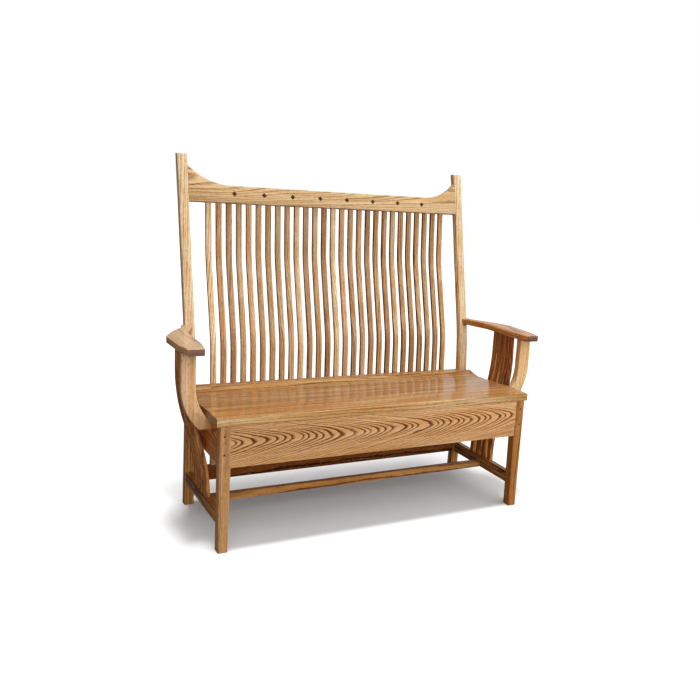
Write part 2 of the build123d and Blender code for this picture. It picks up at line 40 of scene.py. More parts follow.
# Settings that many nodes share
ADD = {"operation": "ADD"}
SUBTRACT = {"operation": "SUBTRACT"}
MULTIPLY = {"operation": "MULTIPLY"}
MULTIPLY_ADD = {"operation": "MULTIPLY_ADD"}
DOT = {"operation": "DOT_PRODUCT"}
SMOOTH = {"interpolation_type": "SMOOTHSTEP"}

# Sockets of a Mix node, which repeat their names: its share, two colours and their mix, then two numbers
SHARE, FIRST, SECOND, MIXED = 0, 6, 7, 2
FIRST_NUMBER, SECOND_NUMBER = 2, 3


def linear(hex_colour):
    """Linear colour from an sRGB hex value such as c98f52."""
    parts = [int(hex_colour[i:i + 2], 16) / 255 for i in (0, 2, 4)]
    return [p / 12.92 if p <= 0.04045 else ((p + 0.055) / 1.055) ** 2.4 for p in parts]


def colour_prop(name, hex_colour, description):
    return bpy.props.FloatVectorProperty(
        name=name, description=description, subtype="COLOR", size=3, min=0, max=1, default=linear(hex_colour)
    )


def length_prop(name, default, description):
    return bpy.props.FloatProperty(
        name=name, description=description, subtype="DISTANCE", unit="LENGTH", min=0, default=default
    )


def number_prop(name, default, description):
    return bpy.props.FloatProperty(name=name, description=description, default=default)


class SettleOak(bpy.types.PropertyGroup):
    """Colours of the oak, sizes of its grain and its eased edges"""

    late_wood: colour_prop("Late wood", "dfb781", "Dense wood between the growth rings' pores")
    early_wood: colour_prop("Early wood", "744822", "Porous band that starts each growth ring")
    heart: colour_prop("Heart tone", "d2a795", "Tint that the redder, browner boards have over the rest")
    end: colour_prop("End grain", "765148", "Ends cut across the grain, where the stain sinks in")
    pore: colour_prop("Pores", "55301a", "Stain and varnish lying in the open pores")
    ray: colour_prop("Rays", "e6c598", "Pale, shiny ray fleck")
    # Real pores are about 0.3 mm wide and 5 mm long, and rays are as thin: both are drawn coarser, to show
    pore_length: length_prop("Pore length", 15 * MM, "Length of a pore's dash along the grain")
    pore_width: length_prop("Pore width", 1.2 * MM, "Width of a pore's dash across the grain")
    ray_length: length_prop("Ray length", 20 * MM, "Length of a ray fleck along the grain")
    ray_width: length_prop("Ray width", 1.6 * MM, "Width of a ray fleck across the grain")
    edge_ease: length_prop("Eased edge", 1.3 * MM, "Radius to which the edges were sanded")


class SettleStudio(bpy.types.PropertyGroup):
    """Studio floor, light and camera"""

    floor_bounce: number_prop("Floor bounce", 0.24, "Share of the light that the floor throws back")
    floor_white: number_prop("Floor white", 0.84, "Share of the light that the camera sees on the floor")
    floor_lift: number_prop("Floor lift", 0.08, "Light added to the floor that the camera sees")
    overhead: number_prop("Overhead lamp", 2.75, "Strength of the soft lamp straight above the bench")
    sky_dim: number_prop("Dim side", 0.08, "Strength of the even light from the left and behind")
    sky_bright: number_prop("Bright side", 1.72, "Strength of the soft light from the front right")
    mirrored: number_prop("Mirrored white", 0.95, "Brightness of the backdrop that the varnish mirrors")
    lens: length_prop("Lens", 43.68 * MM, "Focal length on a 36 mm sensor")


# Materials

def cleared(owner):
    """Node tree of a new material or world, with nothing in it."""
    owner.use_nodes = True
    owner.node_tree.nodes.clear()
    return owner.node_tree


def node(tree, kind, settings=None, inputs=None):
    """Adds a node with its settings and its inputs: each a value, a socket to link, or a node to link."""
    made = tree.nodes.new(kind)
    for key, value in (settings or {}).items():
        setattr(made, key, value)
    for key, value in (inputs or {}).items():
        if isinstance(value, bpy.types.Node):
            value = value.outputs[0]
        if isinstance(value, bpy.types.NodeSocket):
            tree.links.new(value, made.inputs[key])
        else:
            made.inputs[key].default_value = value
    return made


def rgba(colour):
    return (*colour, 1.0)


def oak_grain():
    """Oak as it lies in the log: the grain runs along X, with the pith on the X axis."""
    oak = bpy.context.scene.settle_oak
    tree = bpy.data.node_groups.new("Oak grain", "ShaderNodeTree")
    numbers = (
        "Depth", "Red", "Contrast", "Ring width", "Figure", "Oval", "Shade", "Fade", "Taper", "End grain"
    )
    sockets = (
        ("INPUT", "NodeSocketVector", ("Place",)),
        ("INPUT", "NodeSocketFloat", numbers),
        ("OUTPUT", "NodeSocketColor", ("Colour",)),
        ("OUTPUT", "NodeSocketFloat", ("Roughness", "Height")),
    )
    for way, kind, names in sockets:
        for name in names:
            tree.interface.new_socket(name=name, in_out=way, socket_type=kind)
    given = node(tree, "NodeGroupInput").outputs
    place = given["Place"]

    # Noises drawn out along the grain: length and width of their blotches, then detail and roughness
    patterns = {
        "sway": (550 * MM, 130 * MM, 2.0, 0.45),
        "ripple": (50 * MM, 12 * MM, 2.0, 0.5),
        "pores": (oak.pore_length, oak.pore_width, 1.0, 0.5),
        "rays": (oak.ray_length, oak.ray_width, 0.0, 0.5),
        "streaks": (300 * MM, 4.5 * MM, 3.0, 0.6),
        "bands": (500 * MM, 20 * MM, 2.0, 0.5),
    }
    noise = {}
    for name, (along, across, detail, rough) in patterns.items():
        scaled = node(
            tree, "ShaderNodeVectorMath", MULTIPLY, {0: place, 1: (1 / along, 1 / across, 1 / across)}
        )
        noise[name] = node(
            tree, "ShaderNodeTexNoise", None,
            {"Vector": scaled, "Scale": 1.0, "Detail": detail, "Roughness": rough},
        )

    # Growth rings are shells round the pith, which sways along the log. They close towards one end of it
    sway_width = 24 * MM
    wander = node(
        tree, "ShaderNodeVectorMath", MULTIPLY_ADD,
        {
            0: noise["sway"].outputs["Color"],
            1: (0.0, sway_width, sway_width),
            2: (0.0, -sway_width / 2, -sway_width / 2),
        },
    )
    shaped = node(tree, "ShaderNodeVectorMath", ADD, {0: place, 1: wander})
    apart = node(tree, "ShaderNodeSeparateXYZ", None, {0: shaped}).outputs
    squeezed = node(tree, "ShaderNodeMath", MULTIPLY, {0: apart["Z"], 1: given["Oval"]})
    flat = node(tree, "ShaderNodeCombineXYZ", None, {"Y": apart["Y"], "Z": squeezed})
    radius = node(tree, "ShaderNodeVectorMath", {"operation": "LENGTH"}, {0: flat}).outputs["Value"]
    closing = node(tree, "ShaderNodeMath", MULTIPLY, {0: apart["X"], 1: given["Taper"]})
    radius = node(tree, "ShaderNodeMath", ADD, {0: radius, 1: closing})
    years = node(tree, "ShaderNodeMath", {"operation": "DIVIDE"}, {0: radius, 1: given["Ring width"]})

    # Fat and lean years come in spells of about three, and each ring ripples by up to a quarter of its width
    spell_scale, spell_years, ripple_years = 0.31, 2.4, 0.45
    spell = node(
        tree, "ShaderNodeTexNoise", {"noise_dimensions": "1D"},
        {"W": years, "Scale": spell_scale, "Detail": 1.0},
    )
    spell = node(tree, "ShaderNodeMath", MULTIPLY, {0: spell, 1: spell_years})
    ripple = node(tree, "ShaderNodeMath", SUBTRACT, {0: noise["ripple"], 1: 0.5})
    ripple = node(tree, "ShaderNodeMath", MULTIPLY, {0: ripple, 1: ripple_years})
    years = node(tree, "ShaderNodeMath", ADD, {0: years, 1: spell})
    years = node(tree, "ShaderNodeMath", ADD, {0: years, 1: ripple})

    # A ring starts sharply with porous early wood, which gives way slowly to the dense late wood
    season = node(tree, "ShaderNodeMath", {"operation": "FRACT"}, {0: years})
    start = node(tree, "ShaderNodeMapRange", SMOOTH, {"Value": season, "From Min": 0.0, "From Max": 0.08})
    stop = node(tree, "ShaderNodeMapRange", SMOOTH, {"Value": season, "From Min": 0.58, "From Max": 0.14})
    early = node(tree, "ShaderNodeMath", MULTIPLY, {0: start, 1: stop})

    # Rings differ from year to year
    year = node(tree, "ShaderNodeMath", {"operation": "FLOOR"}, {0: years})
    luck = node(tree, "ShaderNodeTexWhiteNoise", {"noise_dimensions": "1D"}, {"W": year}).outputs["Value"]
    growth = node(tree, "ShaderNodeMapRange", None, {"Value": luck, "To Min": 0.6, "To Max": 1.0})
    early = node(tree, "ShaderNodeMath", MULTIPLY, {0: early, 1: growth})

    # Flat sawn boards show bold arches in the middle, and paler, finer lines towards their edges
    aside = node(tree, "ShaderNodeMath", {"operation": "ABSOLUTE"}, {0: apart["Z"]})
    aside = node(
        tree, "ShaderNodeMapRange", SMOOTH, {"Value": aside, "From Min": 20 * MM, "From Max": 50 * MM}
    )
    faded = node(tree, "ShaderNodeMath", MULTIPLY, {0: aside, 1: given["Fade"]})
    kept = node(tree, "ShaderNodeMath", SUBTRACT, {0: 1.0, 1: faded})
    early = node(tree, "ShaderNodeMath", MULTIPLY, {0: early, 1: kept})

    # Pores are open dashes, crowded in the early wood
    crowding = 0.11
    crowd = node(tree, "ShaderNodeMath", MULTIPLY, {0: early, 1: crowding})
    crowd = node(tree, "ShaderNodeMath", ADD, {0: noise["pores"], 1: crowd})
    pores = node(tree, "ShaderNodeMapRange", SMOOTH, {"Value": crowd, "From Min": 0.60, "From Max": 0.72})

    # Rays stand as thin sheets from the pith to the bark
    fleck = node(
        tree, "ShaderNodeMapRange", SMOOTH, {"Value": noise["rays"], "From Min": 0.66, "From Max": 0.76}
    )

    # Fine streaks and broad bands along the board take the stain more or less deeply
    streak = node(
        tree, "ShaderNodeMapRange", None,
        {"Value": noise["streaks"], "From Min": 0.25, "From Max": 0.75, "To Min": -0.2, "To Max": 0.2},
    )
    band = node(
        tree, "ShaderNodeMapRange", SMOOTH,
        {"Value": noise["bands"], "From Min": 0.3, "From Max": 0.7, "To Min": -0.16, "To Max": 0.16},
    )
    figure = node(tree, "ShaderNodeMath", ADD, {0: streak, 1: band})
    figure = node(tree, "ShaderNodeMath", MULTIPLY, {0: figure, 1: given["Figure"]})
    figure = node(tree, "ShaderNodeMath", ADD, {0: 1.0, 1: figure})
    depth = node(tree, "ShaderNodeMath", MULTIPLY, {0: given["Depth"], 1: figure})

    # Bare wood, then the stain's depth, then tints and what lies in and on the wood, each over the last
    porous = node(tree, "ShaderNodeMath", MULTIPLY, {0: early, 1: given["Contrast"]})
    wood = node(
        tree, "ShaderNodeMix", {"data_type": "RGBA"},
        {SHARE: porous, FIRST: rgba(oak.late_wood), SECOND: rgba(oak.early_wood)},
    ).outputs[MIXED]
    wood = node(tree, "ShaderNodeGamma", None, {"Color": wood, "Gamma": depth}).outputs[0]
    end_share, pore_share, ray_share = 0.85, 0.6, 0.3
    layers = (
        ("MULTIPLY", given["Red"], rgba(oak.heart)),
        ("MULTIPLY", 1.0, given["Shade"]),
        ("MIX", node(tree, "ShaderNodeMath", MULTIPLY, {0: given["End grain"], 1: end_share}), rgba(oak.end)),
        ("MIX", node(tree, "ShaderNodeMath", MULTIPLY, {0: pores, 1: pore_share}), rgba(oak.pore)),
        ("MIX", node(tree, "ShaderNodeMath", MULTIPLY, {0: fleck, 1: ray_share}), rgba(oak.ray)),
    )
    for way, share, tone in layers:
        wood = node(
            tree, "ShaderNodeMix", {"data_type": "RGBA", "blend_type": way},
            {SHARE: share, FIRST: wood, SECOND: tone},
        ).outputs[MIXED]

    # Pores are duller than the wood and sunk into it, and rays stand up a little
    ray_height = 0.25
    rough = node(tree, "ShaderNodeMapRange", None, {"Value": pores, "To Min": 0.42, "To Max": 0.6})
    height = node(tree, "ShaderNodeMath", MULTIPLY, {0: fleck, 1: ray_height})
    height = node(tree, "ShaderNodeMath", SUBTRACT, {0: height, 1: pores})
    node(tree, "NodeGroupOutput", None, {"Colour": wood, "Roughness": rough, "Height": height})
    return tree


# The direction that the grain runs in, turned on to the X axis
ALONG = {
    "x": (0.0, 0.0, 0.0),
    "y": (0.0, 0.0, -math.pi / 2),
    "z": (0.0, math.pi / 2, 0.0),
}


def varnished_oak(
    name, grain, pith, tilt=(0.0, 0.0), depth=1.4, red=0.1, contrast=0.8, ring=4 * MM, figure=1.0, oval=1.0,
    taper=0.006, shade=1.0, fade=0.0, painted_foot_shade=0.0, side=None, painted_side_depth=0.0, painted_side_light=1.0, coat=0.5
):
    """Oak board under gloss varnish: crisp grain, sunk pores and a clear, softly shining coat.

    grain is the axis it runs along, pith the log's centre and tilt the board's angle in the log. depth says
    how dark its stain took, red how much heart tone it has and shade how much light it gives back. contrast
    is how bold its rings are, ring their width, figure how streaky it is, oval how much narrower than round
    the rings are, taper how fast they close along the board and fade how much paler they get towards its
    edges. painted_foot_shade is painted shade: how much darker a post is made towards its foot. side is a
    direction, and the faces that look there get painted light and shade in their colour: painted_side_depth
    is added to their depth, which darkens them, and they give back painted_side_light times the light. coat
    is how much varnish shines on it. Ends are cut across the grain, where stain sinks in and looks darker."""
    made = bpy.data.materials.new(name)
    tree = cleared(made)
    spot = node(tree, "ShaderNodeTexCoord").outputs["Object"]
    turned = node(
        tree, "ShaderNodeMapping", {"vector_type": "TEXTURE"},
        {"Vector": spot, "Location": pith, "Rotation": ALONG[grain]},
    )
    leaned = node(
        tree, "ShaderNodeMapping", {"vector_type": "POINT"},
        {"Vector": turned, "Rotation": (0.0, tilt[0], tilt[1])},
    )
    normal = node(tree, "ShaderNodeNewGeometry").outputs["Normal"]
    looks = node(tree, "ShaderNodeSeparateXYZ", None, {0: normal}).outputs[grain.upper()]
    square = node(tree, "ShaderNodeMath", {"operation": "ABSOLUTE"}, {0: looks})
    ends = node(tree, "ShaderNodeMapRange", SMOOTH, {"Value": square, "From Min": 0.6, "From Max": 0.95})
    # Painted shade: the post is made darker towards its foot, below the seat, where shade falls
    if painted_foot_shade:
        height = node(tree, "ShaderNodeSeparateXYZ", None, {0: spot}).outputs["Z"]
        depth = node(
            tree, "ShaderNodeMapRange", SMOOTH,
            {
                "Value": height, "From Min": 300 * MM, "From Max": 550 * MM,
                "To Min": depth + painted_foot_shade, "To Max": depth,
            },
        )
    # Painted light and shade: faces that look towards side are made darker, or for some pieces lighter, in
    # their colour, to stand in for how the light falls on them
    if side:
        facing = node(tree, "ShaderNodeVectorMath", DOT, {0: normal, 1: side}).outputs["Value"]
        there = node(tree, "ShaderNodeMapRange", SMOOTH, {"Value": facing, "From Min": 0.5, "From Max": 0.9})
        depth = node(tree, "ShaderNodeMath", MULTIPLY_ADD, {0: there, 1: painted_side_depth, 2: depth})
        shade = node(
            tree, "ShaderNodeMapRange", None, {"Value": there, "To Min": shade, "To Max": shade * painted_side_light}
        )
    wood = node(
        tree, "ShaderNodeGroup", {"node_tree": bpy.data.node_groups.get("Oak grain") or oak_grain()},
        {
            "Place": leaned, "Depth": depth, "Red": red, "Contrast": contrast, "Ring width": ring,
            "Figure": figure, "Oval": oval, "Taper": taper, "End grain": ends, "Shade": shade, "Fade": fade,
        },
    ).outputs
    relief, film = (
        node(
            tree, "ShaderNodeBump", None,
            {"Height": wood["Height"], "Strength": strength, "Distance": 0.2 * MM},
        )
        for strength in (0.25, 0.06)
    )
    shader = node(
        tree, "ShaderNodeBsdfPrincipled", None,
        {
            "Base Color": wood["Colour"], "Roughness": wood["Roughness"], "Normal": relief,
            "Coat Normal": film, "IOR": 1.45, "Specular IOR Level": 0.1, "Coat Weight": coat,
            "Coat Roughness": 0.16, "Coat IOR": 1.48,
        },
    )
    node(tree, "ShaderNodeOutputMaterial", None, {"Surface": shader})
    return made


def varnished_walnut():
    """Black walnut under the same varnish: chocolate brown, with darker lines and open pores.

    The lines are drawn coarser than real ones, so that they show on such small pieces."""
    made = bpy.data.materials.new("Varnished walnut")
    tree = cleared(made)
    spot = node(tree, "ShaderNodeTexCoord").outputs["Object"]
    lines = node(
        tree, "ShaderNodeMapping", {"vector_type": "TEXTURE"},
        {"Vector": spot, "Scale": (12 * MM, 2.5 * MM, 2.5 * MM)},
    )
    grain = node(tree, "ShaderNodeTexNoise", None, {"Vector": lines, "Scale": 1.0, "Detail": 3.0})
    wood = node(
        tree, "ShaderNodeMix", {"data_type": "RGBA"},
        {SHARE: grain, FIRST: rgba(linear("3a1d10")), SECOND: rgba(linear("66391f"))},
    ).outputs[MIXED]
    rough = node(tree, "ShaderNodeMapRange", None, {"Value": grain, "To Min": 0.5, "To Max": 0.36})
    relief = node(tree, "ShaderNodeBump", None, {"Height": grain, "Strength": 0.2, "Distance": 0.1 * MM})
    shader = node(
        tree, "ShaderNodeBsdfPrincipled", None,
        {
            "Base Color": wood, "Roughness": rough, "Normal": relief, "Specular IOR Level": 0.1,
            "Coat Weight": 0.3, "Coat Roughness": 0.22, "Coat IOR": 1.48,
        },
    )
    node(tree, "ShaderNodeOutputMaterial", None, {"Surface": shader})
    return made


def plated_steel():
    """Zinc plated screw steel: a pale, slightly yellow metal, brushed round by rolling."""
    made = bpy.data.materials.new("Zinc plated steel")
    tree = cleared(made)
    spot = node(tree, "ShaderNodeTexCoord").outputs["Object"]
    rolled = node(
        tree, "ShaderNodeMapping", {"vector_type": "TEXTURE"},
        {"Vector": spot, "Scale": (4 * MM, 4 * MM, 0.5 * MM)},
    )
    marks = node(tree, "ShaderNodeTexNoise", None, {"Vector": rolled, "Scale": 1.0, "Detail": 2.0})
    metal = node(
        tree, "ShaderNodeMix", {"data_type": "RGBA"},
        {SHARE: marks, FIRST: rgba(linear("a8a598")), SECOND: rgba(linear("cfccc2"))},
    ).outputs[MIXED]
    rough = node(tree, "ShaderNodeMapRange", None, {"Value": marks, "To Min": 0.25, "To Max": 0.45})
    shader = node(
        tree, "ShaderNodeBsdfPrincipled", None, {"Base Color": metal, "Metallic": 1.0, "Roughness": rough}
    )
    node(tree, "ShaderNodeOutputMaterial", None, {"Surface": shader})
    return made


def dress(name, material, ease=None):
    """Puts a finish on a piece of the frame, and eases its edges as sandpaper does."""
    piece = NODES[name]
    piece.data.materials.clear()
    piece.data.materials.append(material)
    for face in piece.data.polygons:
        face.use_smooth = True
    if ease:
        weld = piece.modifiers.new("Joined", "WELD")
        weld.merge_threshold = 0.02 * MM
        flat = piece.modifiers.new("Flat faces", "DECIMATE")
        flat.decimate_type = "DISSOLVE"
        flat.angle_limit = math.radians(0.5)
        edge = piece.modifiers.new("Eased edges", "BEVEL")
        edge.width = ease
        edge.segments = 2
        edge.limit_method = "ANGLE"
        edge.angle_limit = math.radians(35)
        edge.harden_normals = True
        edge.use_clamp_overlap = True
        # Some easing runs out to nothing beside a tenon, and leaves points on top of each other
        last = piece.modifiers.new("Joined edges", "WELD")
        last.merge_threshold = 0.01 * MM


def chance(seed):
    """Repeatable number from 0 to 1: the last decimals of a steep wave."""
    return math.modf(abs(math.sin(seed * 12.9898 + 4.1414)) * 43758.5453)[0]


# Operators, one for each group of pieces. Each piece comes from its own log, and the numbers added to its
# middle or corner say how far from there, in metres, the pith of that log lies

class SETTLE_OT_legs(bpy.types.Operator):
    """Front legs and back posts, with the grain up each one"""

    bl_idname = "settle.legs"
    bl_label = "Legs and posts"

    def execute(self, context):
        ease = context.scene.settle_oak.edge_ease
        # Painted light and shade: the legs' left faces get their own depth and light in their colour, for how
        # the light falls there
        leg = {
            "tilt": (0.0, 0.004), "contrast": 0.45, "ring": 5 * MM,
            "side": LEFT, "painted_side_depth": 0.4, "painted_side_light": 1.4,
        }
        # Painted shade: both posts are made darker towards their feet
        post = {"tilt": (0.012, 0.0), "contrast": 0.6, "ring": 9 * MM, "figure": 1.3, "painted_foot_shade": 0.9}
        boards = {
            "front_leg_left": {**leg, "depth": 1.15, "red": 0.5, "shade": 0.92},
            "front_leg_right": {**leg, "depth": 1.9, "red": 0.25, "shade": 0.95},
            "back_post_left": {**post, "depth": 0.75, "red": 0.1, "shade": 1.03},
            # Painted light and shade on the right post's left face as well
            "back_post_right": {
                **post, "depth": 0.68, "red": 0.1, "shade": 1.1,
                "side": LEFT, "painted_side_depth": 0.4, "painted_side_light": 1.5,
            },
        }
        for i, (name, board) in enumerate(boards.items()):
            low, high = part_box(name)
            middle = (low + high) / 2
            # Posts come from far out in their log, where the rings run straight
            if "post" in name:
                pith = (middle.x - 0.5, middle.y + 0.15, middle.z)
            else:
                pith = (middle.x + 0.02 * chance(i) - 0.01, middle.y + 0.07, middle.z + 0.2 * chance(i + 7))
            dress(name, varnished_oak(f"Varnished oak, {name}", "z", pith, **board), ease)
        return {"FINISHED"}


class SETTLE_OT_aprons(bpy.types.Operator):
    """Front, side and back aprons"""

    bl_idname = "settle.aprons"
    bl_label = "Aprons"

    def execute(self, context):
        ease = context.scene.settle_oak.edge_ease
        low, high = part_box("front_apron")
        # Sawn just beside the pith of a tapering log, which gives the long arches
        oak = varnished_oak(
            "Varnished oak, flat sawn front apron", "x", (-0.5, low.y + 0.022, (low.z + high.z) / 2 + 0.012),
            depth=1.08, red=0.45, contrast=1.4, ring=4.2 * MM, figure=1.1, oval=0.8, taper=0.13, shade=1.25,
            fade=0.5,
        )
        dress("front_apron", oak, ease)
        for i, name in enumerate(("side_apron_left", "side_apron_right")):
            low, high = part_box(name)
            oak = varnished_oak(
                f"Varnished oak, {name}", "y", (low.x + 0.06, 0.3 * i, (low.z + high.z) / 2 + 0.03),
                tilt=(0.0, 0.06), depth=2.1, red=0.55, contrast=0.75, ring=5 * MM, shade=1.8,
            )
            dress(name, oak, ease)
        low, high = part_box("back_apron")
        oak = varnished_oak("Varnished oak, back apron", "x", (0.4, low.y + 0.08, low.z), tilt=(0.02, 0.01))
        dress("back_apron", oak, ease)
        return {"FINISHED"}


class SETTLE_OT_seat(bpy.types.Operator):
    """Seat boards, the grain along the bench"""

    bl_idname = "settle.seat"
    bl_label = "Seat"

    def execute(self, context):
        boards = {
            # Painted light: the front board's front edge is made lighter in its colour, as if lit
            "seat_board_front": {
                "contrast": 0.45, "shade": 0.73, "side": FRONT, "painted_side_depth": -0.3, "painted_side_light": 1.35,
            },
            "seat_board_middle": {"contrast": 0.75, "shade": 0.68},
            "seat_board_back": {"contrast": 0.75, "shade": 0.61},
        }
        for i, (name, board) in enumerate(boards.items()):
            low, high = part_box(name)
            pith = (0.5 * i, (low.y + high.y) / 2 + 0.08 + 0.05 * chance(i + 3), low.z - 0.1)
            oak = varnished_oak(
                f"Varnished oak, {name}", "x", pith, tilt=(0.006, 0.004), depth=1.68, red=0.0, ring=7 * MM,
                figure=1.7, coat=0.75, **board
            )
            dress(name, oak)
        return {"FINISHED"}


class SETTLE_OT_stretchers(bpy.types.Operator):
    """Side, centre and back stretchers"""

    bl_idname = "settle.stretchers"
    bl_label = "Stretchers"

    def execute(self, context):
        ease = context.scene.settle_oak.edge_ease
        boards = {
            "side_stretcher_left": {"grain": "y", "depth": 1.8, "red": 0.4, "shade": 1.2},
            "side_stretcher_right": {"grain": "y", "depth": 1.8, "red": 0.4, "shade": 1.2},
            "centre_stretcher": {"grain": "x", "depth": 1.65, "red": 0.25, "shade": 1.15},
            "back_stretcher": {"grain": "x", "depth": 2.3, "red": 0.6, "shade": 0.85},
        }
        for i, (name, board) in enumerate(boards.items()):
            low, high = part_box(name)
            middle = (low + high) / 2
            pith = (middle.x + 0.07 * chance(i + 31), middle.y + 0.1, middle.z + 0.04 * chance(i + 57))
            oak = varnished_oak(f"Varnished oak, {name}", pith=pith, tilt=(0.01, 0.01), ring=5 * MM, **board)
            dress(name, oak, ease)
        return {"FINISHED"}


class SETTLE_OT_crest(bpy.types.Operator):
    """Crest rail, swept up to a horn at each post"""

    bl_idname = "settle.crest"
    bl_label = "Crest rail"

    def execute(self, context):
        low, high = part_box("crest_rail")
        oak = varnished_oak(
            "Varnished oak, crest rail", "x", (0.2, low.y + 0.09, low.z + 0.06), depth=0.95, red=0.05,
            contrast=0.75, ring=3.4 * MM, oval=0.8, taper=0.03, shade=0.95,
        )
        dress("crest_rail", oak, context.scene.settle_oak.edge_ease)
        return {"FINISHED"}


class SETTLE_OT_back_slats(bpy.types.Operator):
    """Back slats, each from its own board"""

    bl_idname = "settle.back_slats"
    bl_label = "Back slats"

    def execute(self, context):
        ease = context.scene.settle_oak.edge_ease
        for i in range(27):
            name = f"back_slat_{i + 1:02d}"
            low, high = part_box(name)
            middle = (low + high) / 2
            # Slats come from far out in their log too, to its left or right
            beside = 0.5 if chance(i * 3 + 1) > 0.5 else -0.5
            pith = (middle.x + beside, middle.y + 0.3 * chance(i * 3 + 2), middle.z + chance(i * 3 + 4))
            oak = varnished_oak(
                f"Varnished oak, {name}", "z", pith, tilt=(0.016 * chance(i) - 0.008, 0.0),
                depth=0.75 + 0.4 * chance(i * 7 + 5), red=0.1 + 0.6 * chance(i * 5 + 3), contrast=0.7,
                ring=(5 + 4 * chance(i + 70)) * MM, figure=1.5, shade=0.8 + 0.32 * chance(i * 11 + 2),
                # Painted shade: the slats' left faces are made darker in their colour
                side=LEFT, painted_side_depth=1.7, painted_side_light=0.6,
            )
            dress(name, oak, ease)
        return {"FINISHED"}


class SETTLE_OT_side_slats(bpy.types.Operator):
    """Bowed slats in the two sides"""

    bl_idname = "settle.side_slats"
    bl_label = "Side slats"

    def execute(self, context):
        ease = context.scene.settle_oak.edge_ease
        for i, name in enumerate(f"side_slat_{side}_{k}" for side in ("left", "right") for k in range(1, 5)):
            low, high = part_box(name)
            middle = (low + high) / 2
            pith = (middle.x + 0.2 * chance(i * 3 + 2), middle.y + 0.5, middle.z + chance(i * 3 + 4))
            oak = varnished_oak(
                f"Varnished oak, {name}", "z", pith, depth=1.8 + 0.5 * chance(i * 7 + 50),
                red=0.2 + 0.3 * chance(i * 5 + 33), contrast=0.55, ring=6 * MM, figure=1.4, shade=1.4,
            )
            dress(name, oak, ease)
        return {"FINISHED"}


class SETTLE_OT_arms(bpy.types.Operator):
    """Arms and their bowed supports"""

    bl_idname = "settle.arms"
    bl_label = "Arms"

    def execute(self, context):
        ease = context.scene.settle_oak.edge_ease
        # Painted light and shade: the arms' left faces get their own depth and light in their colour, through
        # the side numbers
        arms = {
            "left": {"depth": 0.6, "red": 0.45, "shade": 0.8, "painted_side_depth": 0.5, "painted_side_light": 1.25},
            "right": {"depth": 1.35, "red": 0.5, "shade": 0.92, "painted_side_depth": 0.3, "painted_side_light": 1.5},
        }
        supports = {
            "left": {"depth": 0.85, "red": 0.5, "shade": 1.3},
            "right": {"depth": 0.95, "red": 0.1, "shade": 1.4},
        }
        for i, side in enumerate(arms):
            low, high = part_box(f"arm_{side}")
            middle = (low + high) / 2
            oak = varnished_oak(
                f"Varnished oak, {side} arm", "y", (middle.x + 0.03, middle.y + i, middle.z - 0.09),
                tilt=(0.0, 0.01), contrast=0.6, ring=6 * MM, figure=1.4, side=LEFT, **arms[side]
            )
            dress(f"arm_{side}", oak, ease)
            low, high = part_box(f"arm_support_{side}")
            middle = (low + high) / 2
            oak = varnished_oak(
                f"Varnished oak, {side} arm support", "z", (middle.x + 0.02, middle.y + 0.06, middle.z + i),
                contrast=0.15, ring=7 * MM, figure=2.0, **supports[side]
            )
            dress(f"arm_support_{side}", oak, ease)
        return {"FINISHED"}


class SETTLE_OT_fixings(bpy.types.Operator):
    """Walnut pegs and diamonds, corner blocks and screws"""

    bl_idname = "settle.fixings"
    bl_label = "Pegs, blocks and screws"

    def execute(self, context):
        walnut = varnished_walnut()
        dress("crest_inlays", walnut)
        dress("leg_pegs", walnut)
        dress("corner_blocks", varnished_oak("Planed oak, corner blocks", "x", (0.1, 0.3, 0.3)))
        dress("wood_screws", plated_steel())
        return {"FINISHED"}


class SETTLE_OT_camera(bpy.types.Operator):
    """Camera at the photograph's place and angle"""

    bl_idname = "settle.camera"
    bl_label = "Camera"

    def execute(self, context):
        # Worked out from points of the bench in the photograph
        place = Vector((-1.3421, -2.8648, 1.2571))
        heading, pitch, roll = math.radians(32.42), math.radians(-11.83), math.radians(-4.47)
        view = bpy.data.cameras.new("Camera")
        view.sensor_width = 36
        view.lens = context.scene.settle_studio.lens / MM
        view.shift_x = -0.1576
        view.shift_y = 0.0079
        view.clip_start = 0.05
        view.clip_end = 60
        ahead = Vector((
            math.sin(heading) * math.cos(pitch), math.cos(heading) * math.cos(pitch), math.sin(pitch)
        ))
        right = ahead.cross(Vector((0, 0, 1))).normalized()
        down = ahead.cross(right)
        across = math.cos(roll) * right + math.sin(roll) * down
        under = -math.sin(roll) * right + math.cos(roll) * down
        camera = bpy.data.objects.new("Camera", view)
        context.scene.collection.objects.link(camera)
        turn = Matrix((across, -under, -ahead)).transposed().to_4x4()
        camera.matrix_world = Matrix.Translation(place) @ turn
        context.scene.camera = camera
        return {"FINISHED"}


def studio_paper(studio):
    """Matt white background paper: no shine, white to the edge of the picture, with the bench's soft shadow.

    It throws little light back at the bench, and is dim where the varnish would mirror it."""
    made = bpy.data.materials.new("White studio paper")
    tree = cleared(made)
    path = node(tree, "ShaderNodeLightPath").outputs
    shown = node(
        tree, "ShaderNodeMapRange", None,
        {"Value": path["Is Camera Ray"], "To Min": studio.floor_bounce, "To Max": studio.floor_white},
    )
    dulled = node(
        tree, "ShaderNodeMapRange", None, {"Value": path["Is Glossy Ray"], "To Min": 1.0, "To Max": 0.2}
    )
    white = node(tree, "ShaderNodeMath", MULTIPLY, {0: shown, 1: dulled})
    matt = node(tree, "ShaderNodeBsdfDiffuse", None, {"Color": white})
    lift = node(tree, "ShaderNodeMath", MULTIPLY, {0: path["Is Camera Ray"], 1: studio.floor_lift})
    glow = node(tree, "ShaderNodeEmission", None, {"Color": rgba((1, 1, 1)), "Strength": lift})
    both = node(tree, "ShaderNodeAddShader", None, {0: matt, 1: glow})
    node(tree, "ShaderNodeOutputMaterial", None, {"Surface": both})
    return made


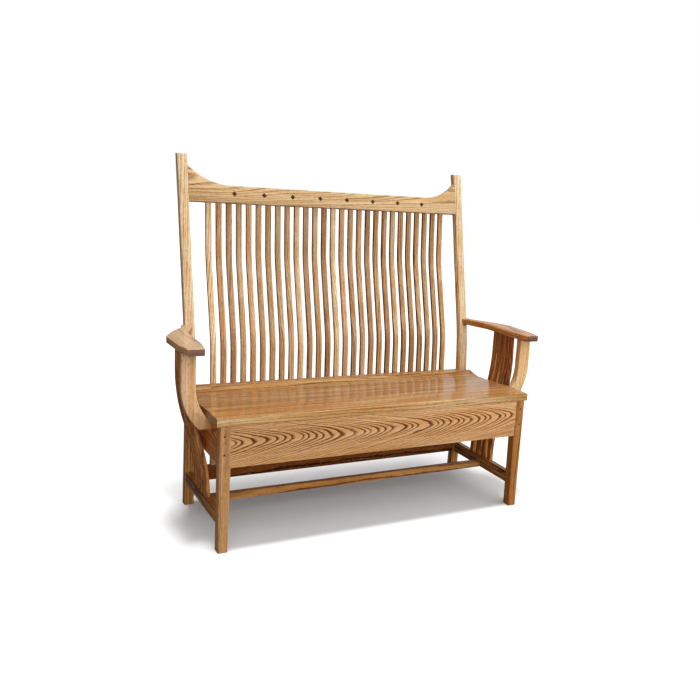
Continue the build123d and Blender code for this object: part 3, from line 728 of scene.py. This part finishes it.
def studio_sky(studio):
    """Light from all round: bright at the front right, dim elsewhere, and white for the camera.

    The varnish mirrors a white backdrop at the right, which fades out towards the left."""
    made = bpy.data.worlds.new("Studio sky")
    tree = cleared(made)
    bright_side = Vector((0.4, -1.0, 0.35)).normalized()
    way = node(tree, "ShaderNodeTexCoord").outputs["Generated"]
    facing = node(tree, "ShaderNodeVectorMath", DOT, {0: way, 1: bright_side}).outputs["Value"]
    soft = node(
        tree, "ShaderNodeMapRange", SMOOTH,
        {
            "Value": facing, "From Min": 0.25, "From Max": 0.85,
            "To Min": studio.sky_dim, "To Max": studio.sky_bright,
        },
    )
    path = node(tree, "ShaderNodeLightPath").outputs
    rightward = node(tree, "ShaderNodeSeparateXYZ", None, {0: way}).outputs["X"]
    white = node(
        tree, "ShaderNodeMapRange", SMOOTH,
        {"Value": rightward, "From Min": 0.15, "From Max": 0.75, "To Min": 0.04, "To Max": studio.mirrored},
    )
    glossy = node(
        tree, "ShaderNodeMix", {"data_type": "FLOAT"},
        {SHARE: path["Is Glossy Ray"], FIRST_NUMBER: soft, SECOND_NUMBER: white},
    )
    level = node(tree, "ShaderNodeMath", {"operation": "MAXIMUM"}, {0: glossy, 1: path["Is Camera Ray"]})
    sky = node(tree, "ShaderNodeBackground", None, {"Color": rgba((1, 1, 1)), "Strength": level})
    node(tree, "ShaderNodeOutputWorld", None, {"Surface": sky})
    return made


class SETTLE_OT_studio(bpy.types.Operator):
    """White floor, soft sky and a soft lamp overhead"""

    bl_idname = "settle.studio"
    bl_label = "Studio"

    def execute(self, context):
        studio = context.scene.settle_studio
        bpy.ops.mesh.primitive_plane_add(size=60, location=(0, 0, 0))
        floor = context.active_object
        floor.name = "Studio floor"
        floor.data.materials.append(studio_paper(studio))
        context.scene.world = studio_sky(studio)

        lamp = bpy.data.lights.new("Overhead lamp", "SUN")
        lamp.angle = math.radians(10)
        lamp.energy = studio.overhead
        holder = bpy.data.objects.new("Overhead lamp", lamp)
        context.scene.collection.objects.link(holder)
        # Almost straight down: the shadow of the seat falls a little to the right and behind
        holder.location = (-0.03, -0.03, 1.0)
        holder.rotation_euler = holder.location.to_track_quat("Z", "Y").to_euler()
        context.scene.view_settings.view_transform = "Standard"
        return {"FINISHED"}


STEPS = (
    SETTLE_OT_camera, SETTLE_OT_legs, SETTLE_OT_aprons, SETTLE_OT_seat, SETTLE_OT_stretchers, SETTLE_OT_crest,
    SETTLE_OT_back_slats, SETTLE_OT_side_slats, SETTLE_OT_arms, SETTLE_OT_fixings, SETTLE_OT_studio,
)


class SETTLE_PT_panel(bpy.types.Panel):
    """Lists the settle's groups of pieces, its colours and its studio"""

    bl_idname = "SETTLE_PT_panel"
    bl_label = "Mission settle"
    bl_space_type = "VIEW_3D"
    bl_region_type = "UI"
    bl_category = "Settle"

    def draw(self, context):
        for group in (context.scene.settle_oak, context.scene.settle_studio):
            box = self.layout.box()
            for name in group.__annotations__:
                box.prop(group, name)
        for step in STEPS:
            self.layout.operator(step.bl_idname)


CLASSES = (SettleOak, SettleStudio, *STEPS, SETTLE_PT_panel)


def register():
    for made in CLASSES:
        bpy.utils.register_class(made)
    bpy.types.Scene.settle_oak = bpy.props.PointerProperty(type=SettleOak)
    bpy.types.Scene.settle_studio = bpy.props.PointerProperty(type=SettleStudio)


def unregister():
    del bpy.types.Scene.settle_studio
    del bpy.types.Scene.settle_oak
    for made in reversed(CLASSES):
        bpy.utils.unregister_class(made)


def main():
    register()
    bpy.ops.object.select_all(action="DESELECT")
    for step in STEPS:
        group, name = step.bl_idname.split(".")
        getattr(getattr(bpy.ops, group), name)()


if __name__ == "__main__":
    main()
